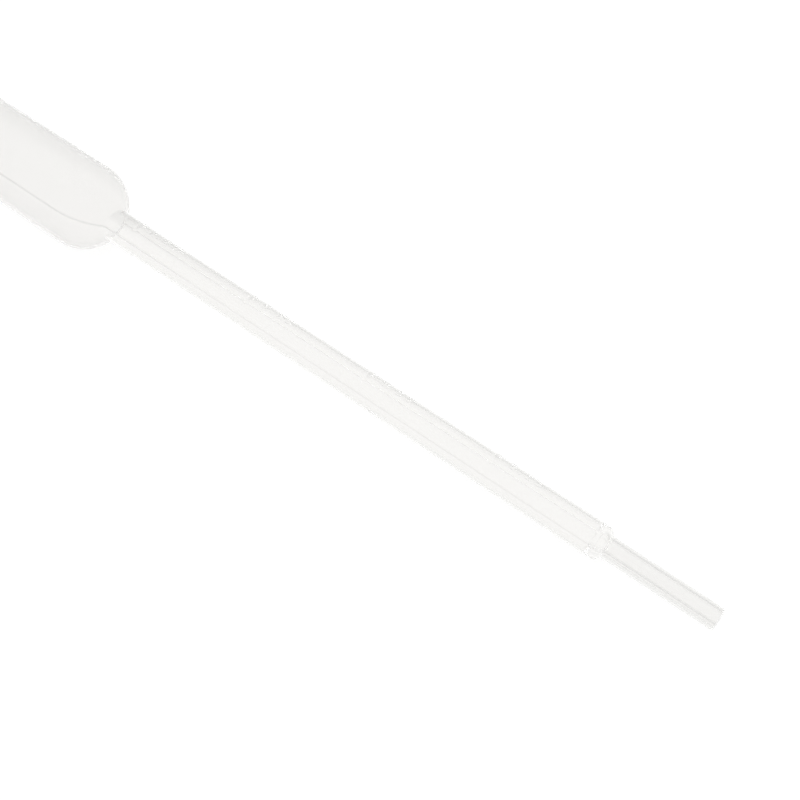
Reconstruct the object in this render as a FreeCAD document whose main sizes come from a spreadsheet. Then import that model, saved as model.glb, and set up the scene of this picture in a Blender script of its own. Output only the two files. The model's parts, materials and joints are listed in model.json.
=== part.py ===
import FreeCAD, Part
import math
import os

import Sketcher

# A disposable transfer pipette, blown in one piece from low density polyethylene:
# a thin squeeze bulb, a stem graduated by volume, and a slim tip cut off square.
#
# In the body's own frame X runs along the bore from the bulb to the tip, and x = 0 is
# the neck plane, where the sphere of the bulb's end would meet the bare stem. The two
# halves of the mould part on the XZ plane, so the graduations, cut into one half, face +Y.

Vector = FreeCAD.Vector

# Millimetres, cubic millimetres and degrees.
SIZES = {
    # the squeeze bulb
    "bulb_dia": 12.85,
    "bulb_length": 50.1,  # from the neck plane to the closed end
    "bulb_wall": 0.3,
    "neck_fillet": 0.45,  # outside, between the bulb and the stem
    "mouth_round": 0.9,  # inside, where the bulb opens into the bore
    # the stem
    "stem_dia": 4.65,
    "stem_bore": 3.94,
    "stem_length": 83.9,  # from the neck plane to the root of the tip
    # the shoulder between the stem and the tip
    "shoulder_slope": 60,  # of its cone, from the axis
    "shoulder_round": 0.75,
    "shoulder_fillet": 0.28,
    "shoulder_wall": 0.45,  # along the axis
    "cavity_slope": 50,  # inside, of the cone that narrows the stem's bore to the tip's
    "cavity_round": 1.0,
    "entry_round": 0.5,
    # the tip
    "tip_dia": 3.05,
    "tip_bore": 2.15,
    "tip_length": 16.0,
    "tip_edge_round": 0.11,
    # the fin left where the halves of the mould meet
    "flash_height": 0.06,
    "flash_width": 0.16,
    # the raised graduations, one for each step of volume
    "step_volume": 250,
    "step_count": 4,
    "first_mark": 34.0,  # from the cut end
    "mark_height": 0.19,
    "mark_section": 0.56,  # diameter of the round cutter that sank them in the mould
    "mark_reach": 50,  # angle from a mark's middle to where it dies into the stem
    # the plain dot on the half without graduations
    "dot_length": 1.86,
    "dot_width": 1.02,
    "dot_height": 0.15,
    "dot_from_neck": 48.5,
    "dot_turn": 160,  # round the stem from the graduations
    # how it lies on a table
    "mark_elevation": 56,  # of the way the graduations face, above the horizontal
}

# The outside, the fin and the cavity have like outlines: each is one set of formulas for
# the chain of arcs and lines that draw_outline draws.
WALL = {
    "bulb_radius": "Sizes.bulb_dia / 2",
    "closed_end": "Sizes.bulb_length",
    "neck_radius": "Sizes.neck_fillet",
    "stem_radius": "Sizes.stem_dia / 2",
    "round_radius": "min(Sizes.shoulder_round; (Sizes.stem_dia - Sizes.tip_dia) / 2)",
    "fillet_radius": "min(Sizes.shoulder_fillet; (Sizes.stem_dia - Sizes.tip_dia) / 4)",
    "slope": "Sizes.shoulder_slope",
    "tip_root": "Sizes.stem_length",
    "tip_radius": "Sizes.tip_dia / 2",
    "open_end": "Sizes.stem_length + Sizes.tip_length",
}
FIN = {
    "bulb_radius": WALL["bulb_radius"] + " + Sizes.flash_height",
    "closed_end": WALL["closed_end"] + " + Sizes.flash_height",
    "neck_radius": WALL["neck_radius"] + " - Sizes.flash_height",
    "stem_radius": WALL["stem_radius"] + " + Sizes.flash_height",
    "round_radius": WALL["round_radius"] + " + Sizes.flash_height",
    "fillet_radius": WALL["fillet_radius"] + " - Sizes.flash_height",
    "slope": WALL["slope"],
    "tip_root": WALL["tip_root"],
    "tip_radius": WALL["tip_radius"] + " + Sizes.flash_height",
    "open_end": WALL["open_end"],
}
CAVITY = {
    "bulb_radius": WALL["bulb_radius"] + " - Sizes.bulb_wall",
    "closed_end": WALL["closed_end"] + " - Sizes.bulb_wall",
    "neck_radius": "Sizes.mouth_round",
    "stem_radius": "Sizes.stem_bore / 2",
    "round_radius": "min(Sizes.cavity_round; (Sizes.stem_bore - Sizes.tip_bore) / 2)",
    "fillet_radius": "min(Sizes.entry_round; (Sizes.stem_bore - Sizes.tip_bore) / 2)",
    "slope": "Sizes.cavity_slope",
    "tip_root": "Sizes.stem_length - Sizes.shoulder_wall",
    "tip_radius": "Sizes.tip_bore / 2",
    # past the cut end by the chain's own last arc, so the bore leaves the tip square
    "open_end": WALL["open_end"] + " + Sizes.tip_edge_round",
}

# The sphere of the bulb's end meets the bare stem in the neck plane.
DOME_SETBACK = "sqrt((Sizes.bulb_dia / 2)^2 - (Sizes.stem_dia / 2)^2)"

# From one mark to the next, the stem's bore holds one step of volume.
MARK_PITCH = "Sizes.step_volume / (pi / 4 * Sizes.stem_bore^2)"
FIRST_MARK = f"{WALL['open_end']} - Sizes.first_mark"

# A mark is a ring set off the axis: it stands mark_height proud in the middle and dies
# into the stem at mark_reach to each side.
CREST = "(Sizes.stem_dia / 2 + Sizes.mark_height)"
MARK_OFFSET = (
    f"({CREST}^2 - (Sizes.stem_dia / 2)^2)"
    f" / (2 * {CREST} - Sizes.stem_dia * cos(Sizes.mark_reach * 1 deg))"
)

# The chain of an outline, clockwise from the open end of the tip along the axis.
AXIS, FAR, BULB, DOME, NECK, STEM, ROUND, CONE, FILLET, TIP, EDGE, END = range(12)
CONVEX = (FAR, DOME, ROUND, EDGE)
# A sketch's names for an element's start, finish and centre, and for its own X axis and
# origin.
START, FINISH, CENTRE = 1, 2, 3
X_LINE, ORIGIN = -1, (-1, 1)


def make_sizes(doc):
    """The spreadsheet that every formula reads."""
    sheet = doc.addObject("Spreadsheet::Sheet", "Sizes")
    for row, (alias, number) in enumerate(SIZES.items(), start=1):
        sheet.set(f"A{row}", str(number))
        sheet.setAlias(f"A{row}", alias)
    doc.recompute()
    return sheet


def origin_feature(body, role):
    """One of the body's own origin planes or axes."""
    return next(item for item in body.Origin.OriginFeatures if item.Role == role)


def attach(item, body, role):
    """Lays a sketch or a primitive on one of the body's origin planes."""
    item.AttachmentSupport = [(origin_feature(body, role), "")]
    item.MapMode = "FlatFace"


def arc(x, y, radius, start, finish):
    """An arc about (x, y), anticlockwise between two angles in degrees."""
    circle = Part.Circle(Vector(x, y, 0), Vector(0, 0, 1), radius)
    return Part.ArcOfCircle(circle, math.radians(start), math.radians(finish))


def line(start, finish):
    return Part.LineSegment(Vector(*start, 0), Vector(*finish, 0))


def outline_shapes(sketch, formulas):
    """The chain at its true place, worked out from what the formulas say now."""
    value = {name: float(sketch.evalExpression(text)) for name, text in formulas.items()}
    bulb, stem, tip = value["bulb_radius"], value["stem_radius"], value["tip_radius"]
    neck, convex, concave = value["neck_radius"], value["round_radius"], value["fillet_radius"]
    root_x, open_x = value["tip_root"], value["open_end"]
    edge = float(sketch.evalExpression("Sizes.tip_edge_round"))
    slope = value["slope"]
    sine, cosine = math.sin(math.radians(slope)), math.cos(math.radians(slope))

    far_x = bulb - value["closed_end"]
    dome_x = -float(sketch.evalExpression(DOME_SETBACK))
    neck_x = dome_x + math.sqrt((bulb + neck) ** 2 - (stem + neck) ** 2)
    turn = math.degrees(math.atan2(stem + neck, neck_x - dome_x))
    low_x, low_y = root_x - concave * sine, tip + concave * (1 - cosine)
    high_y = stem - convex * (1 - cosine)
    high_x = low_x - (high_y - low_y) * cosine / sine
    round_x = high_x - convex * sine
    return [
        line((open_x, 0), (-value["closed_end"], 0)),
        arc(far_x, 0, bulb, 90, 180),
        line((far_x, bulb), (dome_x, bulb)),
        arc(dome_x, 0, bulb, turn, 90),
        arc(neck_x, stem + neck, neck, 180 + turn, 270),
        line((neck_x, stem), (round_x, stem)),
        arc(round_x, stem - convex, convex, 90 - slope, 90),
        line((high_x, high_y), (low_x, low_y)),
        arc(root_x, tip + concave, concave, 270 - slope, 270),
        line((root_x, tip), (open_x - edge, tip)),
        arc(open_x - edge, tip - edge, edge, 0, 90),
        line((open_x, tip - edge), (open_x, 0)),
    ]


def draw_outline(body, name, formulas):
    """Half of a section through the pipette, fully constrained, on the XZ plane."""
    sketch = body.newObject("Sketcher::SketchObject", name)
    attach(sketch, body, "XZ_Plane")
    sketch.addGeometry(outline_shapes(sketch, formulas), False)

    def rule(*words):
        return sketch.addConstraint(Sketcher.Constraint(*words))

    def size(kind, *places, formula):
        value = float(sketch.evalExpression(formula))
        sketch.setExpression(f"Constraints[{rule(kind, *places, value)}]", formula)

    # Elements run anticlockwise, so the chain goes backwards through its convex arcs.
    for place in range(FAR, END):
        leave = START if place in CONVEX else FINISH
        enter = FINISH if place + 1 in CONVEX else START
        rule("Tangent", place, leave, place + 1, enter)
    rule("Coincident", AXIS, FINISH, FAR, FINISH)
    rule("Coincident", END, FINISH, AXIS, START)
    for place, point in ((AXIS, START), (AXIS, FINISH), (FAR, CENTRE), (DOME, CENTRE)):
        rule("PointOnObject", place, point, X_LINE)
    for place in (BULB, STEM, TIP):
        rule("Horizontal", place)
    rule("Vertical", END)

    size("Radius", FAR, formula=formulas["bulb_radius"])
    size("Radius", NECK, formula=formulas["neck_radius"])
    size("Radius", ROUND, formula=formulas["round_radius"])
    size("Radius", FILLET, formula=formulas["fillet_radius"])
    size("Radius", EDGE, formula="Sizes.tip_edge_round")
    size("DistanceY", *ORIGIN, STEM, START, formula=formulas["stem_radius"])
    size("DistanceY", *ORIGIN, TIP, START, formula=formulas["tip_radius"])
    size("DistanceX", AXIS, FINISH, *ORIGIN, formula=formulas["closed_end"])
    size("DistanceX", DOME, CENTRE, *ORIGIN, formula=DOME_SETBACK)
    size("DistanceX", *ORIGIN, TIP, START, formula=formulas["tip_root"])
    size("DistanceX", *ORIGIN, AXIS, START, formula=formulas["open_end"])
    slope = float(sketch.evalExpression(formulas["slope"]))
    angle = rule("Angle", CONE, -math.radians(slope))
    sketch.setExpression(f"Constraints[{angle}]", f"-{formulas['slope']} * 1 deg")
    return sketch


def blow_wall(doc, body):
    """The outside: the outline spun about the axis."""
    section = draw_outline(body, "OutsideSection", WALL)
    outside = body.newObject("PartDesign::Revolution", "Outside")
    outside.Profile = section
    outside.ReferenceAxis = (origin_feature(body, "X_Axis"), [""])
    outside.Angle = 360
    body.Tip = outside
    doc.recompute()
    return section


def add_flash(doc, body):
    """The fin along both sides, from the cut end over the bulb."""
    section = draw_outline(body, "FlashSection", FIN)
    flash = body.newObject("PartDesign::Pad", "Flash")
    flash.Profile = section
    flash.SideType = "Symmetric"
    flash.setExpression("Length", "Sizes.flash_width")
    doc.recompute()
    both = body.newObject("PartDesign::Mirrored", "FlashBothSides")
    both.Originals = [flash]
    both.MirrorPlane = (origin_feature(body, "XY_Plane"), [""])
    body.Tip = both
    doc.recompute()


def add_marks(doc, body):
    """The graduations, repeated from the tip towards the bulb."""
    mark = body.newObject("PartDesign::AdditiveTorus", "Mark")
    attach(mark, body, "YZ_Plane")
    mark.setExpression("AttachmentOffset.Base.x", MARK_OFFSET)
    mark.setExpression("AttachmentOffset.Base.z", FIRST_MARK)
    mark.setExpression("Radius1", f"{CREST} - {MARK_OFFSET} - Sizes.mark_section / 2")
    mark.setExpression("Radius2", "Sizes.mark_section / 2")
    doc.recompute()
    scale = body.newObject("PartDesign::LinearPattern", "Scale")
    scale.Originals = [mark]
    scale.Direction = (origin_feature(body, "X_Axis"), [""])
    scale.Reversed = True
    scale.Mode = "Extent"
    scale.setExpression("Length", f"{MARK_PITCH} * (Sizes.step_count - 1)")
    scale.setExpression("Occurrences", "Sizes.step_count")
    body.Tip = scale
    doc.recompute()


def add_dot(doc, body):
    """The low oval dot, half sunk in the stem."""
    dot = body.newObject("PartDesign::AdditiveEllipsoid", "Dot")
    attach(dot, body, "YZ_Plane")
    dot.setExpression("AttachmentOffset.Base.x", "Sizes.stem_dia / 2 * cos(Sizes.dot_turn * 1 deg)")
    dot.setExpression("AttachmentOffset.Base.y", "Sizes.stem_dia / 2 * sin(Sizes.dot_turn * 1 deg)")
    dot.setExpression("AttachmentOffset.Base.z", "Sizes.dot_from_neck")
    dot.setExpression("AttachmentOffset.Rotation.Angle", "Sizes.dot_turn * 1 deg")
    dot.setExpression("Radius1", "Sizes.dot_length / 2")
    dot.setExpression("Radius2", "Sizes.dot_height")
    dot.setExpression("Radius3", "Sizes.dot_width / 2")
    body.Tip = dot
    doc.recompute()


def hollow(doc, body):
    """The cavity: bulb, bore and tip in one cut, open at the tip."""
    filled = body.Shape.Volume
    cavity = body.newObject("PartDesign::Groove", "Cavity")
    cavity.Profile = draw_outline(body, "CavitySection", CAVITY)
    cavity.ReferenceAxis = (origin_feature(body, "X_Axis"), [""])
    cavity.Angle = 360
    body.Tip = cavity
    doc.recompute()
    if body.Shape.Volume > filled / 2:
        raise RuntimeError("the cavity was not cut")


def table_lean(section):
    """The lean at which the table touches the bulb and, first of the two, shoulder or tip."""
    dome = section.Geometry[DOME]
    leans = []
    for place in (ROUND, EDGE):
        touch = section.Geometry[place]
        run, drop = touch.Center.x - dome.Center.x, touch.Center.y
        rise = math.asin((dome.Radius - touch.Radius) / math.hypot(run, drop))
        leans.append(rise - math.atan2(drop, run))
    return min(leans)


def lie_down(body, section, elevation):
    """Rests it on the table, z = 0, with its graduations facing the given way up."""
    tilt = table_lean(section)
    dome = section.Geometry[DOME]
    facing = FreeCAD.Rotation(Vector(1, 0, 0), elevation)
    lean = FreeCAD.Rotation(Vector(0, 1, 0), math.degrees(tilt))
    body.Placement = FreeCAD.Placement(Vector(), lean.multiply(facing))
    ends = body.Shape.optimalBoundingBox(False)
    middle = (ends.XMin + ends.XMax) / 2
    height = dome.Radius + dome.Center.x * math.sin(tilt)
    body.Placement.Base = Vector(-middle, 0, height)


def check(doc, body):
    """Stops before anything is written if a feature has failed."""
    for item in doc.Objects:
        if "Invalid" in item.State or "Error" in item.State:
            raise RuntimeError(f"{item.Name}: {item.State}")
    shape = body.Shape
    if shape.isNull() or not shape.isValid() or len(shape.Solids) != 1:
        raise RuntimeError(f"{body.Label} is not one valid solid")


def main():
    doc = FreeCAD.newDocument("TransferPipette")
    sheet = make_sizes(doc)
    pipette = doc.addObject("PartDesign::Body", "Pipette")
    pipette.Label = "pipette"
    section = blow_wall(doc, pipette)
    add_flash(doc, pipette)
    add_marks(doc, pipette)
    add_dot(doc, pipette)
    hollow(doc, pipette)
    lie_down(pipette, section, sheet.mark_elevation)
    check(doc, pipette)

    os.makedirs("parts", exist_ok=True)
    pipette.Shape.exportStep(f"parts/{pipette.Label}.step")
    box = pipette.Shape.optimalBoundingBox(False)
    print(f"{pipette.Label}: {pipette.Shape.Volume:.1f} mm3, box {box}")


main()
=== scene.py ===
import json
import math

import bmesh
import bpy
from mathutils import Matrix, Vector
from mathutils.bvhtree import BVHTree
from mathutils.geometry import intersect_point_line


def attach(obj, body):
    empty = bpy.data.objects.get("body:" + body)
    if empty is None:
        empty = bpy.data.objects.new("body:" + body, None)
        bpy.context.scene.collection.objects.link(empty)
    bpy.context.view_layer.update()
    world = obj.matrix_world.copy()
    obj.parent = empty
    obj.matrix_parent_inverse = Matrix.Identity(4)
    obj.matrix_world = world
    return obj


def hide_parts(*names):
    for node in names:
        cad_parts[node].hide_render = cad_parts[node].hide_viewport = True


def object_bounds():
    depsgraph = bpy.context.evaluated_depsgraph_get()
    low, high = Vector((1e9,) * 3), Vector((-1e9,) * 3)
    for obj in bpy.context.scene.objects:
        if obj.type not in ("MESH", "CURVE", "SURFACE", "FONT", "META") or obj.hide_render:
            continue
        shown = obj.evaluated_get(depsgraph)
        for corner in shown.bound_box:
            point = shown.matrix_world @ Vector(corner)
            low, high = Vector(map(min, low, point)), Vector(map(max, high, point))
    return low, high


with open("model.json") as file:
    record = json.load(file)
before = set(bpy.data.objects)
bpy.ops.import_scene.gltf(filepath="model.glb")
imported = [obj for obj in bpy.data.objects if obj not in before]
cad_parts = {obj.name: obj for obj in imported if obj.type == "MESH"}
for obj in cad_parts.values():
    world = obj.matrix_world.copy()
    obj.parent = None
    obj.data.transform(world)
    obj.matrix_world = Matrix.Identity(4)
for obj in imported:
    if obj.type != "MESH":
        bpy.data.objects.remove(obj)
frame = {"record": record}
cad_low, cad_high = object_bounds()

# ---------------------------------------------------------------------------------------
# The pipette. One piece of natural low density polyethylene, blown in a split mould: a squeeze
# bulb, a slim stem with a raised scale, and a thick-walled tip that is cut off square. Its
# section is drawn round the outside and back through the cavity, as a sheet to be rolled up.

scene = bpy.context.scene
MM = 0.001

mounts = {mount["name"]: mount for mount in frame["record"]["mounts"]}
bore_way = Vector(mounts["tip_bore"]["axis"]).normalized()


def mount_end(name, side):
    """The end of a mount's wall: side is +1 towards the tip and -1 towards the bulb."""
    mount = mounts[name]
    return Vector(mount["pos_m"]) + bore_way * (side * mount["dims"]["length_mm"] / 2 * MM)


bulb_r = (cad_high.y - cad_low.y) / 2
bulb_wall = 0.3 * MM
neck_fillet = 0.45 * MM
mouth_round = 0.9 * MM
stem_r = mounts["stem"]["dims"]["r_mm"] * MM
stem_bore_r = 1.97 * MM
shoulder_slope, shoulder_round, shoulder_fillet = 60, 0.75 * MM, 0.28 * MM
cavity_slope, cavity_round, entry_round = 35, 1.6 * MM, 1.0 * MM
tip_r = mounts["tip"]["dims"]["r_mm"] * MM
tip_bore_r = mounts["tip_bore"]["dims"]["r_mm"] * MM
rim_round = 0.11 * MM
rim_inner_round = 0.05 * MM

# Places along the bore are counted from the neck, where the bulb's sphere meets the stem.
dome_at = -math.sqrt(bulb_r**2 - stem_r**2)
stem_at = dome_at + math.sqrt((bulb_r + neck_fillet) ** 2 - (stem_r + neck_fillet) ** 2)
neck = mount_end("stem", -1) - bore_way * stem_at
stem_end_at = (mount_end("stem", 1) - neck).dot(bore_way)
cavity_end_at = (mount_end("tip_bore", -1) - neck).dot(bore_way)
tip_at = (mount_end("tip", -1) - neck).dot(bore_way)
cut_at = (mount_end("tip_bore", 1) - neck).dot(bore_way)
lean = math.asin(-bore_way.z)

# It lies with the graduations facing up and to the back.
scale_up = math.radians(56)
lie = (
    Matrix.Translation(neck) @ Matrix.Rotation(lean, 4, "Y") @ Matrix.Rotation(scale_up, 4, "X"))

# The fin where the halves of the mould met runs along both sides and over the bulb's end. On
# the far side of the bulb and the tip it was trimmed, so that little of it is left.
fin_height, fin_half, fin_trimmed = 0.06 * MM, 0.06 * MM, 0.9
far_at = (cad_low.x + fin_height + bulb_r - neck.x) / math.cos(lean)
# A plain oval dot stands on the half that has no graduations.
dot_at, dot_turn = 48.5 * MM, 160
dot_half_length, dot_half_width, dot_height = 0.93 * MM, 0.51 * MM, 0.15 * MM
# The scale: each graduation marks another quarter of a millilitre of the bore.
step_volume = 250 * MM**3
mark_pitch = step_volume / (math.pi * stem_bore_r**2)
first_mark = cut_at - 34 * MM
mark_height, mark_half = 0.12 * MM, 0.45 * MM
mark_reach = math.radians(50)
numerals = ("0.25", "0.50", "0.75", "1.00")
numeral_gap, numeral_length = 2.05 * MM, 5.2 * MM
numeral_half, numeral_height, numeral_edge = 0.93 * MM, 0.07 * MM, 0.25 * MM
numeral_fineness, numeral_spread, numeral_weld = 6, 1.25, 1e-5

# How closely the sheet is pointed, along the walls and round the arcs of the section.
bulb_spacing, stem_spacing, bore_spacing, tip_spacing = 2 * MM, 1.5 * MM, 2 * MM, 1.2 * MM
mark_spacing, relief_spacing = 0.04 * MM, 0.1 * MM
dome_step, shoulder_step, rim_step = 5, 4, 15
weld = 0.001 * MM
# The same round the bore, in degrees: finer by the numerals, the fin and the dot.
turn_step, numeral_turn_step, fin_turn_step, dot_turn_step = 3.2, 1.6, 0.4, 2.4
numeral_reach, fin_reach, dot_reach = 24, 2.4, 14


def graded(start, finish, coarse, windows=()):
    """Even steps from start to finish, finer inside each window of (from, to, step)."""
    edges = {edge for low, high, _ in windows for edge in (low, high)}
    cuts = sorted({start, finish} | edges)
    for low, high in zip(cuts, cuts[1:]):
        middle = (low + high) / 2
        step = min((fine for a, b, fine in windows if a < middle < b), default=coarse)
        count = max(1, round((high - low) / step))
        yield from (low + (high - low) * i / count for i in range(count))
    yield finish


def arc(at, height, radius, start, finish, step):
    """Points on an arc of the section, between two angles in degrees."""
    count = max(2, round(abs(finish - start) / step))
    for i in range(count + 1):
        turn = math.radians(start + (finish - start) * i / count)
        yield at + radius * math.cos(turn), height + radius * math.sin(turn)


def bulb_and_stem(radius, fillet, pipe_r, places, root_at, low_r, slope, convex, concave):
    """One side of the wall, from the pole of the closed end to the root of the tip."""
    fillet_at = dome_at + math.sqrt((radius + fillet) ** 2 - (pipe_r + fillet) ** 2)
    turn = math.degrees(math.atan2(pipe_r + fillet, fillet_at - dome_at))
    sine, cosine = math.sin(math.radians(slope)), math.cos(math.radians(slope))
    low_at, low_edge = root_at - concave * sine, low_r + concave * (1 - cosine)
    high_edge = pipe_r - convex * (1 - cosine)
    round_at = low_at - (high_edge - low_edge) * cosine / sine - convex * sine
    yield from arc(far_at, 0, radius, 180, 90, dome_step)
    yield from ((at, radius) for at in graded(far_at, dome_at, bulb_spacing))
    yield from arc(dome_at, 0, radius, 90, turn, dome_step)
    yield from arc(fillet_at, pipe_r + fillet, fillet, 180 + turn, 270, dome_step)
    yield from ((at, pipe_r) for at in places if fillet_at < at < round_at)
    yield from arc(round_at, pipe_r - convex, convex, 90, 90 - slope, shoulder_step)
    yield from arc(root_at, low_r + concave, concave, 270 - slope, 270, shoulder_step)


def without_repeats(points):
    """Leaves out points that fall on the one before, and puts the pole on the axis."""
    kept = []
    for at, radius in points:
        if not kept or math.dist(kept[-1], (at, radius)) > 5 * weld:
            kept.append((at, radius if radius > weld else 0))
    return kept


marks_at = [first_mark - mark_pitch * i for i in range(len(numerals))]
windows = [(at - mark_half, at + mark_half, mark_spacing) for at in marks_at]
windows += [(at + numeral_gap, at + numeral_gap + numeral_length, relief_spacing)
            for at in marks_at]
windows += [(dot_at - dot_half_length, dot_at + dot_half_length, relief_spacing)]

outside = without_repeats([
    *bulb_and_stem(bulb_r, neck_fillet, stem_r,
                   list(graded(dome_at, stem_end_at, stem_spacing, windows)),
                   tip_at, tip_r, shoulder_slope, shoulder_round, shoulder_fillet),
    *((at, tip_r) for at in graded(tip_at, cut_at - rim_round, tip_spacing)),
    *arc(cut_at - rim_round, tip_r - rim_round, rim_round, 90, 0, rim_step),
])
inside = without_repeats([
    *bulb_and_stem(bulb_r - bulb_wall, mouth_round, stem_bore_r,
                   list(graded(dome_at, stem_end_at, bore_spacing)),
                   cavity_end_at, tip_bore_r, cavity_slope, cavity_round, entry_round),
    *((at, tip_bore_r) for at in graded(cavity_end_at, cut_at - rim_inner_round, tip_spacing)),
    *arc(cut_at - rim_inner_round, tip_bore_r + rim_inner_round, rim_inner_round,
         270, 360, rim_step),
])


def numeral_face(text):
    """A numeral's flat face, as tall and as long as on the mould, and its outline."""
    words = bpy.data.curves.new(text, "FONT")
    words.body, words.resolution_u = text, numeral_fineness
    words.space_character = numeral_spread
    carrier = bpy.data.objects.new(text, words)
    scene.collection.objects.link(carrier)
    evaluated = carrier.evaluated_get(bpy.context.evaluated_depsgraph_get())
    flat = bpy.data.meshes.new_from_object(evaluated)
    bpy.data.objects.remove(carrier)
    face = bmesh.new()
    face.from_mesh(flat)
    bmesh.ops.remove_doubles(face, verts=face.verts, dist=numeral_weld)
    low = Vector(min(vert.co[i] for vert in face.verts) for i in range(3))
    high = Vector(max(vert.co[i] for vert in face.verts) for i in range(3))
    for vert in face.verts:
        vert.co = Vector((
            (vert.co.x - low.x) / (high.x - low.x) * numeral_length,
            (vert.co.y - (low.y + high.y) / 2) / (high.y - low.y) * 2 * numeral_half,
            0,
        ))
    outline = [
        (edge.verts[0].co.copy(), edge.verts[1].co.copy())
        for edge in face.edges if edge.is_boundary]
    return BVHTree.FromBMesh(face), outline


def numeral_rise(face, outline, along, across):
    """How proud a numeral stands at a point: its edges are rounded by the mould cutter."""
    point = Vector((along, across, 0))
    if face.ray_cast(point + Vector((0, 0, 1)), Vector((0, 0, -1)))[0] is None:
        return 0
    nearest = numeral_edge
    for start, finish in outline:
        foot, share = intersect_point_line(point, start, finish)
        foot = start if share < 0 else finish if share > 1 else foot
        nearest = min(nearest, (point - foot).length)
    return numeral_height * math.sin(nearest / numeral_edge * math.pi / 2)


numeral_faces = [numeral_face(text) for text in numerals]


def proud(at, radius, turn):
    """How far the outside stands out from the plain wall at a place and a turn."""
    rise = fin_height * math.exp(-((radius * math.cos(turn) / fin_half) ** 2))
    if turn < 0 and (at < 0 or at > stem_end_at):
        rise *= 1 - fin_trimmed * (1 if at > 0 else min(radius / bulb_r, 1))
    if abs(at - dot_at) < dot_half_length:
        spread = ((at - dot_at) / dot_half_length) ** 2
        spread += ((turn - math.radians(dot_turn)) * stem_r / dot_half_width) ** 2
        rise = max(rise, dot_height * math.sqrt(max(0, 1 - spread)))
    if abs(turn) * stem_r < numeral_half:
        for mark_at, (face, outline) in zip(marks_at, numeral_faces):
            along = at - mark_at - numeral_gap
            if 0 <= along <= numeral_length:
                rise = max(rise, numeral_rise(face, outline, along, -turn * stem_r))
    return rise


# The sheet: X runs along the bore, Y is the turn about it and Z the height above it.
turns = list(graded(-180, 180, turn_step, [
    (-numeral_reach, numeral_reach, numeral_turn_step),
    (-90 - fin_reach, -90 + fin_reach, fin_turn_step),
    (90 - fin_reach, 90 + fin_reach, fin_turn_step),
    (dot_turn - dot_reach, dot_turn + dot_reach, dot_turn_step),
]))
sheet = bmesh.new()
is_outside = sheet.verts.layers.float.new("outside")
rows = []
for side, points in ((1, outside), (0, inside[::-1])):
    for i, (at, radius) in enumerate(points):
        before, after = points[max(i - 1, 0)], points[min(i + 1, len(points) - 1)]
        run, climb = after[0] - before[0], after[1] - before[1]
        if radius == 0:
            run = 0
        length = math.hypot(run, climb)
        row = []
        for degrees in turns:
            turn = math.radians(degrees)
            rise = proud(at, radius, turn) if side else 0
            end = min(at - rise * climb / length, cut_at)
            vert = sheet.verts.new((end, turn, radius + rise * run / length))
            vert[is_outside] = side
            row.append(vert)
        rows.append(row)
for row, above in zip(rows, rows[1:]):
    for a, b, c, d in zip(row, row[1:], above[1:], above):
        sheet.faces.new((a, b, c, d))
wall_mesh = bpy.data.meshes.new("wall_sheet")
sheet.to_mesh(wall_mesh)
sheet.free()
pipette = bpy.data.objects.new("pipette_wall", wall_mesh)
scene.collection.objects.link(pipette)


class Value:
    """A number carried by nodes, so that shader and shape maths can be written out."""

    def __init__(self, nodes, socket):
        self.nodes, self.socket = nodes, socket

    def maths(self, operation, *others):
        return self.nodes.add("ShaderNodeMath", {"operation": operation}, self, *others)

    def ramp(self, start, finish, shape="SMOOTHSTEP"):
        """Runs from 0 at start to 1 at finish."""
        return self.nodes.add("ShaderNodeMapRange", {"interpolation_type": shape},
                              Value=self, From_Min=start, From_Max=finish)

    def __add__(self, other):
        return self.maths("ADD", other)

    def __sub__(self, other):
        return self.maths("SUBTRACT", other)

    def __rsub__(self, other):
        return self.nodes.add("ShaderNodeMath", {"operation": "SUBTRACT"}, other, self)

    def __mul__(self, other):
        return self.maths("MULTIPLY", other)

    def __truediv__(self, other):
        return self.maths("DIVIDE", other)

    __radd__, __rmul__ = __add__, __mul__


class Nodes:
    """A node tree that is filled from top to bottom."""

    def __init__(self, tree):
        self.tree = tree
        tree.nodes.clear()

    def add(self, kind, settings=None, *inputs, out=0, **named):
        """Adds a node: its settings first, then the values or links of its sockets."""
        node = self.tree.nodes.new(kind)
        for name, setting in (settings or {}).items():
            setattr(node, name, setting)
        wires = [(node.inputs[i], given) for i, given in enumerate(inputs)]
        wires += [(node.inputs[name.replace("_", " ")], given) for name, given in named.items()]
        for socket, given in wires:
            if isinstance(given, Value):
                self.tree.links.new(given.socket, socket)
            elif given is not None:
                socket.default_value = given
        return Value(self, node.outputs[out]) if len(node.outputs) else node

    def split(self, vector):
        """The three numbers of a vector."""
        node = self.add("ShaderNodeSeparateXYZ", None, vector).socket.node
        return [Value(self, socket) for socket in node.outputs]


# The plastic has no colour of its own: it is clear enough to see through, with a little
# milkiness, a soft gloss from the mould and faint streaks along the way it was drawn.
# The darker tone serves both the plastic's milkiness and the painted shade.
clear_tone, milky_and_shaded_tone = (0.935, 0.933, 0.928, 1), (0.72, 0.72, 0.715, 1)
streaks_along, streaks_across, clouds_each_way = 40, 900, 180  # to the metre
ripple_strength, ripple_height = 0.02, 0.2 * MM
haze, haze_clouds, haze_tip, haze_bulb = 0.02, 0.04, 0.05, 0.07
# Painted shade along the parting line: how wide it is and how dark.
seam_half, seam_beneath = 0.12 * MM, 0.7
seam_shade, seam_neck_shade, seam_tip_shade = 0.25, 0.4, 0.45
neck_reach, collar_start, collar_finish = 24 * MM, 2.5 * MM, 6 * MM
half_start, half_full = stem_r * 0.4, stem_r * 0.75
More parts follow.
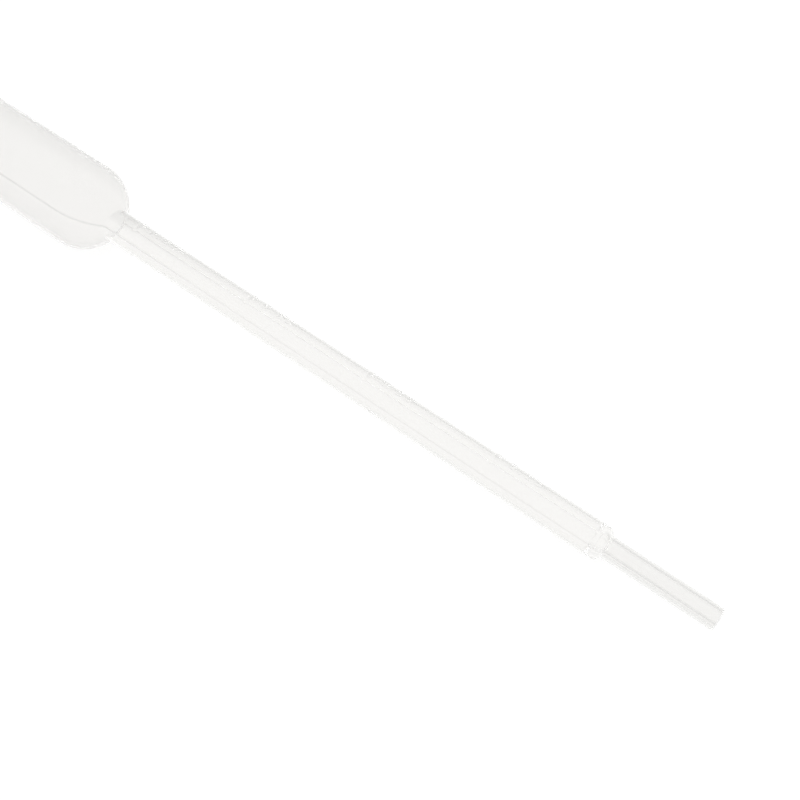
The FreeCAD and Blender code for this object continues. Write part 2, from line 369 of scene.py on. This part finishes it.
# The first three amounts are painted shade on the upper half; the tip and the bulb are a little
# milkier all over.
half_shade, neck_shade, collar_shade, tip_cloud, bulb_cloud = 0.04, 0.24, 0.12, 0.07, 0.03
polyethylene = bpy.data.materials.new("natural_polyethylene")
polyethylene.use_nodes = True
nodes = Nodes(polyethylene.node_tree)
place = nodes.add("ShaderNodeTexCoord", out="Object")
drawn = nodes.add("ShaderNodeMapping", None, Vector=place,
                  Scale=(streaks_along, streaks_across, streaks_across))
streaks = nodes.add("ShaderNodeTexNoise", None, Vector=drawn, Scale=1.0, Detail=1.0)
clouds = nodes.add("ShaderNodeTexNoise", None, Vector=place, Scale=clouds_each_way, Detail=2.0)
ripple = nodes.add("ShaderNodeBump", None, Strength=ripple_strength, Distance=ripple_height,
                   Height=streaks)
from_neck = nodes.add("ShaderNodeVectorMath", {"operation": "SUBTRACT"}, place, tuple(neck))


def distance_along(way):
    """How far a point lies from the neck in one direction."""
    return nodes.add(
        "ShaderNodeVectorMath", {"operation": "DOT_PRODUCT"}, from_neck, tuple(way), out="Value")


along = distance_along(bore_way)
apart = distance_along(lie.to_3x3() @ Vector((0, 1, 0)))
facing = distance_along(lie.to_3x3() @ Vector((0, 0, 1)))
on_tip = along.maths("GREATER_THAN", tip_at)
on_bulb = along.maths("LESS_THAN", 0.0)
on_stem = 1 - on_tip - on_bulb
near_neck = along.ramp(neck_reach, 0.0, "LINEAR")
# Painted shade darkens the parting line, strongest at the neck and on the tip.
painted_seam = (apart * apart * (-1 / seam_half**2)).maths("EXPONENT")
painted_seam = painted_seam * facing.maths("GREATER_THAN", 0.0).maths("MAXIMUM", on_stem * seam_beneath)
painted_seam = painted_seam * (seam_shade + near_neck * seam_neck_shade + on_tip * seam_tip_shade)
# Painted shade darkens the half with the graduations, which faces up and back, most towards the
# neck.
shaded_upper_half = apart.ramp(half_start, half_full) * (1 - on_bulb)
collar = along.ramp(collar_finish, collar_start)
upper_half_shade = near_neck * neck_shade + collar * collar_shade + half_shade
# Painted shade on the upper half, with the milkiness of the tip and the bulb.
milk_and_shade = shaded_upper_half * upper_half_shade + on_tip * tip_cloud + on_bulb * bulb_cloud
body_tone = nodes.add("ShaderNodeMix", {"data_type": "RGBA"}, painted_seam + milk_and_shade,
                      *[None] * 5, clear_tone, milky_and_shaded_tone, out=2)
# A very faint painted glow at each face lightens the plastic.
plastic = nodes.add(
    "ShaderNodeBsdfPrincipled", None, Normal=ripple, Base_Color=body_tone,
    Roughness=haze + clouds * haze_clouds + on_tip * haze_tip + on_bulb * haze_bulb,
    IOR=1.51, Transmission_Weight=0.99,
    Emission_Color=(1, 1, 0.992, 1), Emission_Strength=0.03)
nodes.add("ShaderNodeOutputMaterial", None, plastic)

# The graduations are crescents, cut in one half of the mould with a round cutter: each stands
# proud in the middle and dies into the stem. One tree raises them at each step of volume,
# rolls the sheet up round the bore and closes it.
crest_r = stem_r + mark_height
mark_offset = (crest_r**2 - stem_r**2) / (2 * (crest_r - stem_r * math.cos(mark_reach)))

roll = bpy.data.node_groups.new("roll_up", "GeometryNodeTree")
nodes = Nodes(roll)
panel = roll.interface
panel.new_socket("Sheet", in_out="INPUT", socket_type="NodeSocketGeometry")
ring_sizes = {
    "First mark": first_mark,
    "Mark pitch": mark_pitch,
    "Last mark number": len(numerals) - 1,
    "Ring radius": crest_r - mark_offset,
    "Ring offset": mark_offset,
    "Half width": mark_half,
}
inputs = {}
for name, number in ring_sizes.items():
    inputs[name] = panel.new_socket(name, in_out="INPUT", socket_type="NodeSocketFloat")
inputs["Plastic"] = panel.new_socket("Plastic", in_out="INPUT", socket_type="NodeSocketMaterial")
panel.new_socket("Wall", in_out="OUTPUT", socket_type="NodeSocketGeometry")
group_input = nodes.add("NodeGroupInput").socket.node
take = {socket.name: Value(nodes, socket) for socket in group_input.outputs if socket.name}

at, turn, radius = nodes.split(nodes.add("GeometryNodeInputPosition"))
outer = nodes.add("GeometryNodeInputNamedAttribute", {"data_type": "FLOAT"}, Name="outside")
number = ((take["First mark"] - at) / take["Mark pitch"]).maths("ROUND")
number = number.maths("MAXIMUM", 0.0).maths("MINIMUM", take["Last mark number"])
away = at - (take["First mark"] - number * take["Mark pitch"])
cosine, sine = turn.maths("COSINE"), turn.maths("SINE")
across = take["Ring offset"] * sine
ring = take["Ring offset"] * cosine + (
    take["Ring radius"] * take["Ring radius"] - across * across).maths("SQRT")
across_mark = away / take["Half width"]
crown = (1 - across_mark * across_mark).maths("MAXIMUM", 0.0)
raised = radius + (ring - radius).maths("MAXIMUM", 0.0) * crown * crown * outer
rolled = nodes.add("ShaderNodeCombineXYZ", None, at, raised * cosine, raised * sine)
wall = nodes.add("GeometryNodeSetPosition", None, Geometry=take["Sheet"], Position=rolled)
closed = nodes.add("GeometryNodeMergeByDistance", None, Geometry=wall, Distance=weld)
smooth = nodes.add("GeometryNodeSetShadeSmooth", None, Geometry=closed)
whole = nodes.add("GeometryNodeRealizeInstances", None, smooth)
moulded = nodes.add("GeometryNodeSetMaterial", None, Geometry=whole, Material=take["Plastic"])
nodes.add("NodeGroupOutput", None, moulded)

modifier = pipette.modifiers.new("roll_up", "NODES")
modifier.node_group = roll
for name, number in ring_sizes.items():
    modifier[inputs[name].identifier] = float(number)
modifier[inputs["Plastic"].identifier] = polyethylene
evaluated = pipette.evaluated_get(bpy.context.evaluated_depsgraph_get())
finished = bpy.data.meshes.new_from_object(evaluated)
pipette.modifiers.clear()
pipette.data = finished
finished.transform(lie)

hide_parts("pipette")
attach(pipette, "root")

# ---------------------------------------------------------------------------------------
# The table: a sheet of white opal on a light box, so that nothing throws a shadow on it. It is
# kept out of what the plastic mirrors and bends: there the studio shows instead.

floor_half = 1.2
floor_mesh = bpy.data.meshes.new("floor")
floor_mesh.from_pydata(
    [(-floor_half, -floor_half, 0), (floor_half, -floor_half, 0),
     (floor_half, floor_half, 0), (-floor_half, floor_half, 0)], [], [(0, 1, 2, 3)])
floor = bpy.data.objects.new("floor", floor_mesh)
scene.collection.objects.link(floor)
opal = bpy.data.materials.new("lit_opal")
opal.use_nodes = True
nodes = Nodes(opal.node_tree)
matte = nodes.add(
    "ShaderNodeBsdfPrincipled", None, Base_Color=(0.22, 0.22, 0.22, 1), Roughness=0.9,
    Specular_IOR_Level=0.0, Emission_Color=(1, 1, 0.995, 1), Emission_Strength=0.88)
nodes.add("ShaderNodeOutputMaterial", None, matte)
floor_mesh.materials.append(opal)
floor.visible_glossy = floor.visible_transmission = False

# ---------------------------------------------------------------------------------------
# The light: soft and even from all round, a little less from the front, with the dim room
# behind the table. The rims of the plastic mirror that room, so they come out darker.

azimuth = math.radians(37.39)  # of the camera, which faces the room
studio_light, room_dimming, front_dimming = 0.964, 0.19, 0.08
room_depth, room_ceiling, room_floor = (0.35, 0.8), (0.8, 0.4), (-0.8, -0.15)
front_depth = (0.3, 0.0)
world = bpy.data.worlds.new("studio")
scene.world = world
world.use_nodes = True
nodes = Nodes(world.node_tree)
east, north, height = nodes.split(nodes.add("ShaderNodeTexCoord", out="Generated"))
behind = north * math.cos(azimuth) - east * math.sin(azimuth)
in_room = behind.ramp(*room_depth) * height.ramp(*room_ceiling) * height.ramp(*room_floor)
in_front = behind.ramp(*front_depth)
backdrop = nodes.add(
    "ShaderNodeBackground", None, Color=(1, 0.995, 0.985, 1),
    Strength=studio_light - in_room * room_dimming - in_front * front_dimming)
nodes.add("ShaderNodeOutputWorld", None, backdrop)

# ---------------------------------------------------------------------------------------
# The camera looks down on the stem from in front, turned a little towards the tip. Light may
# pass many faces of the wall before it comes out, so it is followed a long way.

elevation = math.radians(53.90)
camera_from_neck = Vector((118.590, -87.994, 152.030)) * MM
light_steps = 32
camera_data = bpy.data.cameras.new("camera")
camera_data.sensor_width = 36
camera_data.lens = 65
camera = bpy.data.objects.new("camera", camera_data)
scene.collection.objects.link(camera)
back = Vector((
    math.sin(azimuth) * math.cos(elevation),
    -math.cos(azimuth) * math.cos(elevation),
    math.sin(elevation),
))
camera.location = neck + camera_from_neck
camera.rotation_mode = "QUATERNION"
camera.rotation_quaternion = (-back).to_track_quat("-Z", "Y")
scene.camera = camera
scene.view_settings.view_transform = "Standard"
scene.cycles.max_bounces = light_steps
scene.cycles.transmission_bounces = scene.cycles.glossy_bounces = light_steps
